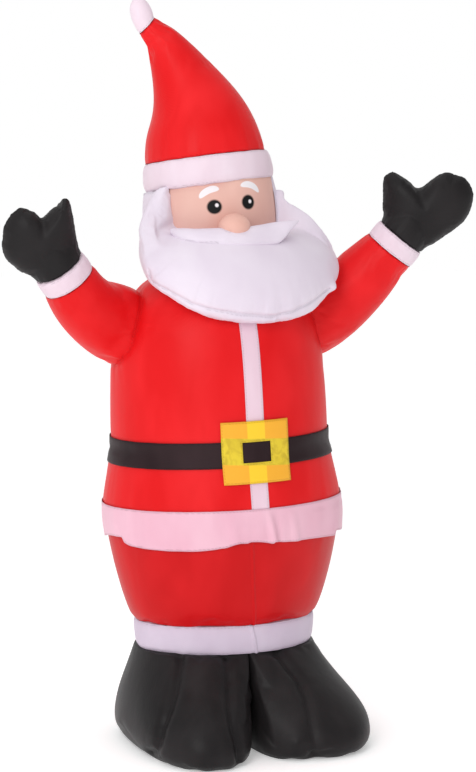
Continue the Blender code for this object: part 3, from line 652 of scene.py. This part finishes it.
# Lower edge: angle from the front in degrees, how much higher it is cut there.
HEM_CUT = (
    (-181.0, 0.0),
    (-95.0, -0.003),
    (-85.0, 0.002),
    (-76.0, 0.008),
    (-72.0, 0.013),
    (-70.5, 0.001),
    (-45.0, 0.000),
    (-30.0, 0.003),
    (-18.0, 0.006),
    (-11.0, 0.000),
    (-4.0, -0.009),
    (-2.5, -0.005),
    (9.8, -0.009),
    (10.8, 0.000),
    (30.0, -0.005),
    (50.0, -0.011),
    (57.0, -0.012),
    (58.5, 0.006),
    (75.0, 0.006),
    (95.0, 0.0),
    (181.0, 0.0),
)


def cut_at(angle):
    """How much higher the hem is cut at an angle from the front."""
    for (start, low), (end, high) in zip(HEM_CUT, HEM_CUT[1:]):
        if start <= angle <= end:
            return low + (high - low) * (angle - start) / (end - start)
    return 0.0


# White taffeta in one loose layer, which the red cloth behind it turns pink.
hem_taffeta = polyester("hem_taffeta", "#e5b0c2", "#ebbccc", 0.44, 0.10)
hem = sheet_of("jacket_hem_cloth", "jacket_hem", cuts=1)
applied(hem, "SUBSURF", levels=2, render_levels=2)
hem_low, hem_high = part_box("jacket_hem")
hem_drop = hem_high.z - hem_low.z
top_row = hem.vertex_groups.new(name="top")
for vert in hem.data.vertices:
    hang = (hem_high.z - vert.co.z) / hem_drop
    top_row.add([vert.index], max(0.0, 1.0 - hang * HEM_PINNED_SHARE), "REPLACE")
    out = vert.co - BODY_AXIS
    angle = math.degrees(math.atan2(out.x, -out.y))
    stand = 0.0
    for middle, proud, half in HEM_FOLDS:
        across = (angle - middle + 180) % 360 - 180 - HEM_FOLD_LEAN * (hang - 0.5)
        stand += proud * math.exp(-(across / half) ** 2)
    stand += HEM_RIPPLE * noise.noise(Vector((angle / HEM_RIPPLE_ANGLE, hang, 0.0)))
    vert.co += Vector((out.x, out.y, 0.0)).normalized() * stand * max(0.0, hang)
    vert.co.z += cut_at(angle) * max(0.0, hang) ** 2
sewn_flat(hem, HEM_OFF, BAND_THICKNESS, jacket, group="top")
dressed(hem, hem_taffeta, "white_cloth", "jacket_hem")


# Sleeves: red polyester chambers that reach up and out to the wrists. They are sewn into the armholes
# of the jacket, which blows them up.
for side in ("left", "right"):
    node = "sleeve_" + side
    sleeve = chamber(node + "_cloth", node, into=["jacket"])
    rims = folds(node, 50)
    blown(sleeve, rims)
    sewn(sleeve, rims, groove=0.001, pucker=0.0040, reach=0.05, wave=0.035)
    dressed(sleeve, red_taffeta, "red_cloth", node)


# Cuffs: rings of white polyester between sleeve and mitten, blown up with them and gathered at both
# seams.
# The faint pink of this white is painted light from the red cloth beside it.
WHITE_CLOTH = {"colour": "#e2ccd8", "faded": "#e9d7e2", "satin": 0.44, "gleam": 0.08}
WRISTS = {"left": Vector((0.3934, -0.0380, 1.1950)), "right": Vector((-0.4106, -0.0380, 1.1290))}
ARM_WAYS = {"left": Vector((0.553, -0.305, 0.774)), "right": Vector((-0.580, -0.231, 0.780))}
CUFF_RADIUS = 0.0668

# White taffeta, with a barely pink tint of painted light from the red cloth beside it.
white_taffeta = polyester("white_taffeta", **WHITE_CLOTH)
for side in ("left", "right"):
    node = "cuff_" + side
    way = ARM_WAYS[side].normalized()

    def slim(point):
        """Keeps the cuff's cloth close to a straight band."""
        centre = WRISTS[side] + way * (point - WRISTS[side]).dot(way)
        out = point - centre
        return centre + out * min(1.0, CUFF_RADIUS / out.length)

    cuff = chamber(node + "_cloth", node, shape=slim)
    rims = folds(node, 50)
    sewn(cuff, rims, groove=0.0006, width=0.004, pucker=0.0022, reach=0.025, wave=0.022, levels=0)
    dressed(cuff, white_taffeta, "white_cloth", node)


# Mittens: black polyester chambers. Each is a palm and a back panel with the thumb cut in one, sewn
# together round the edge, which puckers.
PALMS_FACE = Vector((-0.292, -0.956, 0.0))
WRIST_NEAR = 0.085
EDGE_ON = 0.12

# Black dyed taffeta like that of the boots, a little darker.
mitten_taffeta = polyester("mitten_taffeta", "#1b191a", "#262324", 0.46, 0.0, glance=0.15)
for side in ("left", "right"):
    node = "mitten_" + side
    mitten = chamber(node + "_cloth", node, cell=0.0045, fairing=4)
    rims = [point for point in folds(node, 60) if (point - WRISTS[side]).length < WRIST_NEAR]
    way = ARM_WAYS[side].normalized()
    facing = (PALMS_FACE - PALMS_FACE.dot(way) * way).normalized()
    edge = [vert.co.copy() for vert in mitten.data.vertices if abs(vert.normal.dot(facing)) < EDGE_ON]
    blown(mitten, rims + edge)
    sewn(mitten, rims + edge, groove=-0.0006, width=0.004, pucker=0.0030, reach=0.016, wave=0.016, splits=0)
    dressed(mitten, mitten_taffeta, "black_cloth", node)


# Head: the skin-coloured polyester chamber behind the face, sewn to the band of the hat above it. The
# eyes and the eyebrows are only printed on it.
SKIN = {"colour": "#e0b0a4", "faded": "#e5baae", "satin": 0.50, "gleam": 0.03, "glance": 0.2}
NECK = Vector((-0.0186, 0.0420, 1.150))
HEAD_TURNS = Matrix.Rotation(math.radians(1.5), 3, "Z") @ Matrix.Rotation(math.radians(-6.5), 3, "Y")
HEAD_TURNS = HEAD_TURNS @ Matrix.Rotation(math.radians(-3.0), 3, "X")
HEAD_RADIUS = 0.155
INK = "#0b0a0c"
PRINT_WHITE = "#efeaee"
EYES = (
    ((-0.0414, 0.1487), (0.0184, 0.0168), (-0.0350, 0.1517)),
    ((0.0475, 0.1502), (0.0180, 0.0172), (0.0527, 0.1514)),
)
GLINT_RADIUS = 0.0044
BROWS = (
    ((-0.0520, 0.1885), 16.6, 0.0275, 0.0080, 0.0060),
    ((0.0620, 0.1895), -20.0, 0.0290, 0.0078, 0.0080),
)
EYE_EDGE = 0.12
GLINT_EDGE = 0.3
BROW_EDGE = 0.15


def printed_face(cloth, place, dyed):
    """Black round eyes with a white glint each, and short bent white brows, in the head's own frame."""
    in_head = add(cloth, "Mapping", {"Vector": place, "Location": NECK, "Rotation": HEAD_TURNS.to_euler()},
                  vector_type="TEXTURE").outputs["Vector"]
    axes = add(cloth, "SeparateXYZ", {"Vector": in_head})
    ahead = add(cloth, "Math", {0: axes.outputs["Y"], 1: -1.0}, operation="MULTIPLY").outputs[0]
    angle = add(cloth, "Math", {0: axes.outputs["X"], 1: ahead}, operation="ARCTAN2").outputs[0]
    across = add(cloth, "Math", {0: angle, 1: HEAD_RADIUS}, operation="MULTIPLY").outputs[0]
    flat = add(cloth, "CombineXYZ", {"X": across, "Y": axes.outputs["Z"]}).outputs[0]

    def inked(colour, mask, over):
        """One colour printed over another where the mask is 1."""
        return add(cloth, "Mix", {0: mask, 6: over, 7: linear(colour)}, data_type="RGBA").outputs[2]

    def within(measure, edge):
        """1 where the measure is below 1, with a soft edge."""
        return add(cloth, "MapRange", {0: measure, 1: 1.0 - edge, 2: 1.0 + edge, 3: 1.0, 4: 0.0}).outputs[0]

    for centre, radii, glint in EYES:
        eye = (centre, radii, INK, EYE_EDGE)
        shine = (glint, (GLINT_RADIUS, GLINT_RADIUS), PRINT_WHITE, GLINT_EDGE)
        for middle, half, colour, edge in (eye, shine):
            mark = {"Vector": flat, "Location": (*middle, 0.0), "Scale": (*half, 1.0)}
            mark = add(cloth, "Mapping", mark, vector_type="TEXTURE").outputs["Vector"]
            measure = add(cloth, "VectorMath", {0: mark}, operation="LENGTH").outputs["Value"]
            dyed = inked(colour, within(measure, edge), dyed)
    for middle, lean, half_length, half_width, bend in BROWS:
        mark = {"Vector": flat, "Location": (*middle, 0.0), "Rotation": (0, 0, math.radians(lean)),
                "Scale": (half_length, half_width, 1.0)}
        mark = add(cloth, "Mapping", mark, vector_type="TEXTURE").outputs["Vector"]
        axes = add(cloth, "SeparateXYZ", {"Vector": mark})
        x = axes.outputs["X"]
        square = add(cloth, "Math", {0: x, 1: x}, operation="MULTIPLY").outputs[0]
        drop = {0: square, 1: bend / half_width, 2: axes.outputs["Y"]}
        bent = add(cloth, "Math", drop, operation="MULTIPLY_ADD").outputs[0]
        fourth = add(cloth, "Math", {0: square, 1: square}, operation="MULTIPLY").outputs[0]
        measure = add(cloth, "Math", {0: bent, 1: bent, 2: fourth}, operation="MULTIPLY_ADD").outputs[0]
        dyed = inked(PRINT_WHITE, within(measure, BROW_EDGE), dyed)
    return dyed


# Skin-coloured dyed taffeta, printed in black and white with the eyes and the eyebrows.
skin_taffeta = polyester("skin_taffeta", **SKIN, shade=printed_face)
head = chamber("head_cloth", "head", into=["hat_band"])
sewn(head, folds("hat_band", 50), groove=0.0005, pucker=0.001, reach=0.02, wave=0.03, splits=0)
dressed(head, skin_taffeta, "skin_cloth", "head")


# Hair: a padded panel of white polyester round the back of the head, sewn to it at the edges and of the
# same cloth as the beard.

# White taffeta over air, cooler than the white of the bands: no red cloth lies behind it.
beard_taffeta = polyester("beard_taffeta", "#ddd1df", "#e4dae6", 0.44, 0.08)
hair = chamber("hair_cloth", "hair", into=["hat_band"])
noted(hair, tree_of(folds("hair", 50)))
dressed(hair, beard_taffeta, "white_cloth", "hair")


# Beard: a full white chamber from ear to ear, sewn to the face round its upper edge. A second panel
# closes it underneath, and their seam runs round near its lower edge.
BEARD_TURN = math.radians(7.0)
HAT_BAND_LOW = 0.2035
CHEEK_SHIFT = math.radians(8.0)
SIDEBURN_ANGLE = math.radians(59.5)
SIDEBURN_LEVEL = 0.155
SIDEBURN_OVERLAP = 0.006
RIGHT_TOP_RADIUS = 0.167
LEFT_TOP_RADIUS = 0.159
OUTER_CLOTH_RADIUS = 0.1575
SIDEBURN_PADDING = 0.013
UNDER_SEAM = (
    (-0.2450, 1.1520), (-0.2376, 1.1300), (-0.1984, 1.1011), (-0.1550, 1.0762), (-0.1174, 1.0651),
    (-0.0509, 1.0530), (0.0351, 1.0464), (0.0895, 1.0589), (0.1402, 1.0783), (0.1957, 1.1066),
    (0.2250, 1.1180),
)
BEARD_CORNER = Vector((0.2120, -0.1430, 1.1090))


def fade(value, start, end):
    """Rises smoothly from 0 at start to 1 at end."""
    share = min(1.0, max(0.0, (value - start) / (end - start)))
    return share * share * (3 - 2 * share)


def faded_between(angle, start, full, still_full, end):
    """1 between two angles to the figure's right, with a smooth rise before and a fall after. In degrees."""
    rise = fade(-angle, math.radians(start), math.radians(full))
    return rise * fade(angle, math.radians(-end), math.radians(-still_full))


def sideburns(point):
    """Carries the right top corner of the beard up to the hat band and sets its cheek edge upright."""
    away = point - NECK
    radius, angle = math.hypot(away.x, away.y), math.atan2(away.x, -away.y) - BEARD_TURN
    level = away.z
    if angle < -SIDEBURN_ANGLE and level > SIDEBURN_LEVEL:
        up = HEAD_TURNS @ Vector((0, 0, 1))
        level = (HAT_BAND_LOW + SIDEBURN_OVERLAP - up.x * away.x - up.y * away.y) / up.z
        radius = min(radius, RIGHT_TOP_RADIUS)
    elif angle > SIDEBURN_ANGLE and level > SIDEBURN_LEVEL:
        radius = min(radius, LEFT_TOP_RADIUS)
    if radius > OUTER_CLOTH_RADIUS:
        radius += SIDEBURN_PADDING * faded_between(angle, 58, 66, 96, 112) * fade(level, 0.090, 0.140)
    angle -= CHEEK_SHIFT * faded_between(angle, 44, 56, 68, 82) * fade(level, 0.060, 0.095)
    turn = angle + BEARD_TURN
    return NECK + Vector((radius * math.sin(turn), -radius * math.cos(turn), level))


neighbours = ["head", "hair", "hat_band", "jacket"]
beard = chamber("beard_cloth", "beard", cell=0.0050, into=neighbours, shape=sideburns)
rims = folds("beard", 50)
blown(beard, rims)
under = seam_line(beard, UNDER_SEAM)
raised(beard, [BEARD_CORNER], 0.016, 0.014)
sewn(beard, under, groove=0.0045, width=0.006, pucker=0.004, reach=0.03, wave=0.035, splits=0)
dressed(beard, beard_taffeta, "white_cloth", "beard")


# Moustache: a slim roll of white polyester that lies on the slope of the beard below the nose. It tapers
# to a point at its right end, is turned up to one at its left end, and is sewn on along its upper edge.
# Each row is an angle from the face's middle, level above the neck, radius, half height and half depth.
MOUSTACHE = (
    (-51.0, 0.0965, 0.206, 0.0030, 0.0040),
    (-45.0, 0.0885, 0.211, 0.0120, 0.0100),
    (-36.0, 0.0840, 0.217, 0.0155, 0.0130),
    (-28.0, 0.0810, 0.216, 0.0180, 0.0140),
    (-11.0, 0.0810, 0.209, 0.0205, 0.0130),
    (0.0, 0.0815, 0.208, 0.0210, 0.0120),
    (15.0, 0.0855, 0.206, 0.0235, 0.0130),
    (22.7, 0.0890, 0.207, 0.0245, 0.0140),
    (28.5, 0.1020, 0.2165, 0.0140, 0.0110),
    (33.0, 0.1100, 0.223, 0.0075, 0.0080),
    (38.0, 0.1175, 0.230, 0.0020, 0.0040),
)
BEARD_SLOPE = math.radians(42.0)
ROLL_SIDES = 12

roll = bmesh.new()
rings = []
for angle, level, radius, half_height, half_depth in MOUSTACHE:
    turn = math.radians(angle)
    ring = []
    for corner in range(ROLL_SIDES):
        spin = 2 * math.pi * corner / ROLL_SIDES
        up, out = half_height * math.sin(spin), half_depth * math.cos(spin)
        far = radius - up * math.tan(BEARD_SLOPE) + out * math.cos(BEARD_SLOPE)
        high = level + up + out * math.sin(BEARD_SLOPE)
        ring.append(roll.verts.new(NECK + Vector((far * math.sin(turn), -far * math.cos(turn), high))))
    rings.append(ring)
for ring, following in zip(rings, rings[1:]):
    for corner in range(ROLL_SIDES):
        after = (corner + 1) % ROLL_SIDES
        roll.faces.new((ring[corner], ring[after], following[after], following[corner]))
roll.faces.new(rings[0])
roll.faces.new(rings[-1])
bmesh.ops.recalc_face_normals(roll, faces=roll.faces)
mesh = bpy.data.meshes.new("moustache_cloth")
roll.to_mesh(mesh)
roll.free()
moustache = bpy.data.objects.new("moustache_cloth", mesh)
scene.collection.objects.link(moustache)
applied(moustache, "SUBSURF", levels=2, render_levels=2)
sewn(moustache, folds("moustache", 60), groove=0.0, pucker=0.0016, reach=0.02, wave=0.016, splits=0)
dressed(moustache, beard_taffeta, "white_cloth", "moustache")


# Nose: a small ball of pink polyester, sewn on the face above the middle of the moustache and blown up
# from behind.

# Pink dyed taffeta, warmer than that of the face.
nose_taffeta = polyester("nose_taffeta", "#dfab9d", "#e4b5a8", 0.48, 0.03, glance=0.2)
nose = chamber("nose_cloth", "nose", cell=0.0035, into=["head", "beard"])
sewn(nose, folds("nose", 60), groove=0.0, pucker=0.0006, reach=0.012, wave=0.012, levels=0, splits=0)
dressed(nose, nose_taffeta, "skin_cloth", "nose")


# Band of the hat: a padded ring of white polyester round the head. It joins the hat to the head and is
# gathered at both of its seams.
hat_band = chamber("hat_band_cloth", "hat_band")
rims = folds("hat_band", 50)
blown(hat_band, rims)
sewn(hat_band, rims, groove=0.001, pucker=0.002, reach=0.03, wave=0.035)
dressed(hat_band, white_taffeta, "white_cloth", "hat_band")


# Hat: a tall cone of red polyester that leans to the figure's right. It is sewn to its band round the
# foot and blown up from the head.
hat = chamber("hat_cloth", "hat")
rims = folds("hat", 50)
blown(hat, rims)
sewn(hat, rims, groove=0.001, pucker=0.003, reach=0.05, wave=0.04)
dressed(hat, red_taffeta, "red_cloth", "hat")


# Tip of the hat: a small bulb of white polyester, sewn on the end of the cone and gathered at that
# seam.
hat_tip = chamber("hat_tip_cloth", "hat_tip")
sewn(hat_tip, folds("hat_tip", 60), groove=0.001, pucker=0.0015, reach=0.02, wave=0.012, levels=0)
dressed(hat_tip, white_taffeta, "white_cloth", "hat_tip")
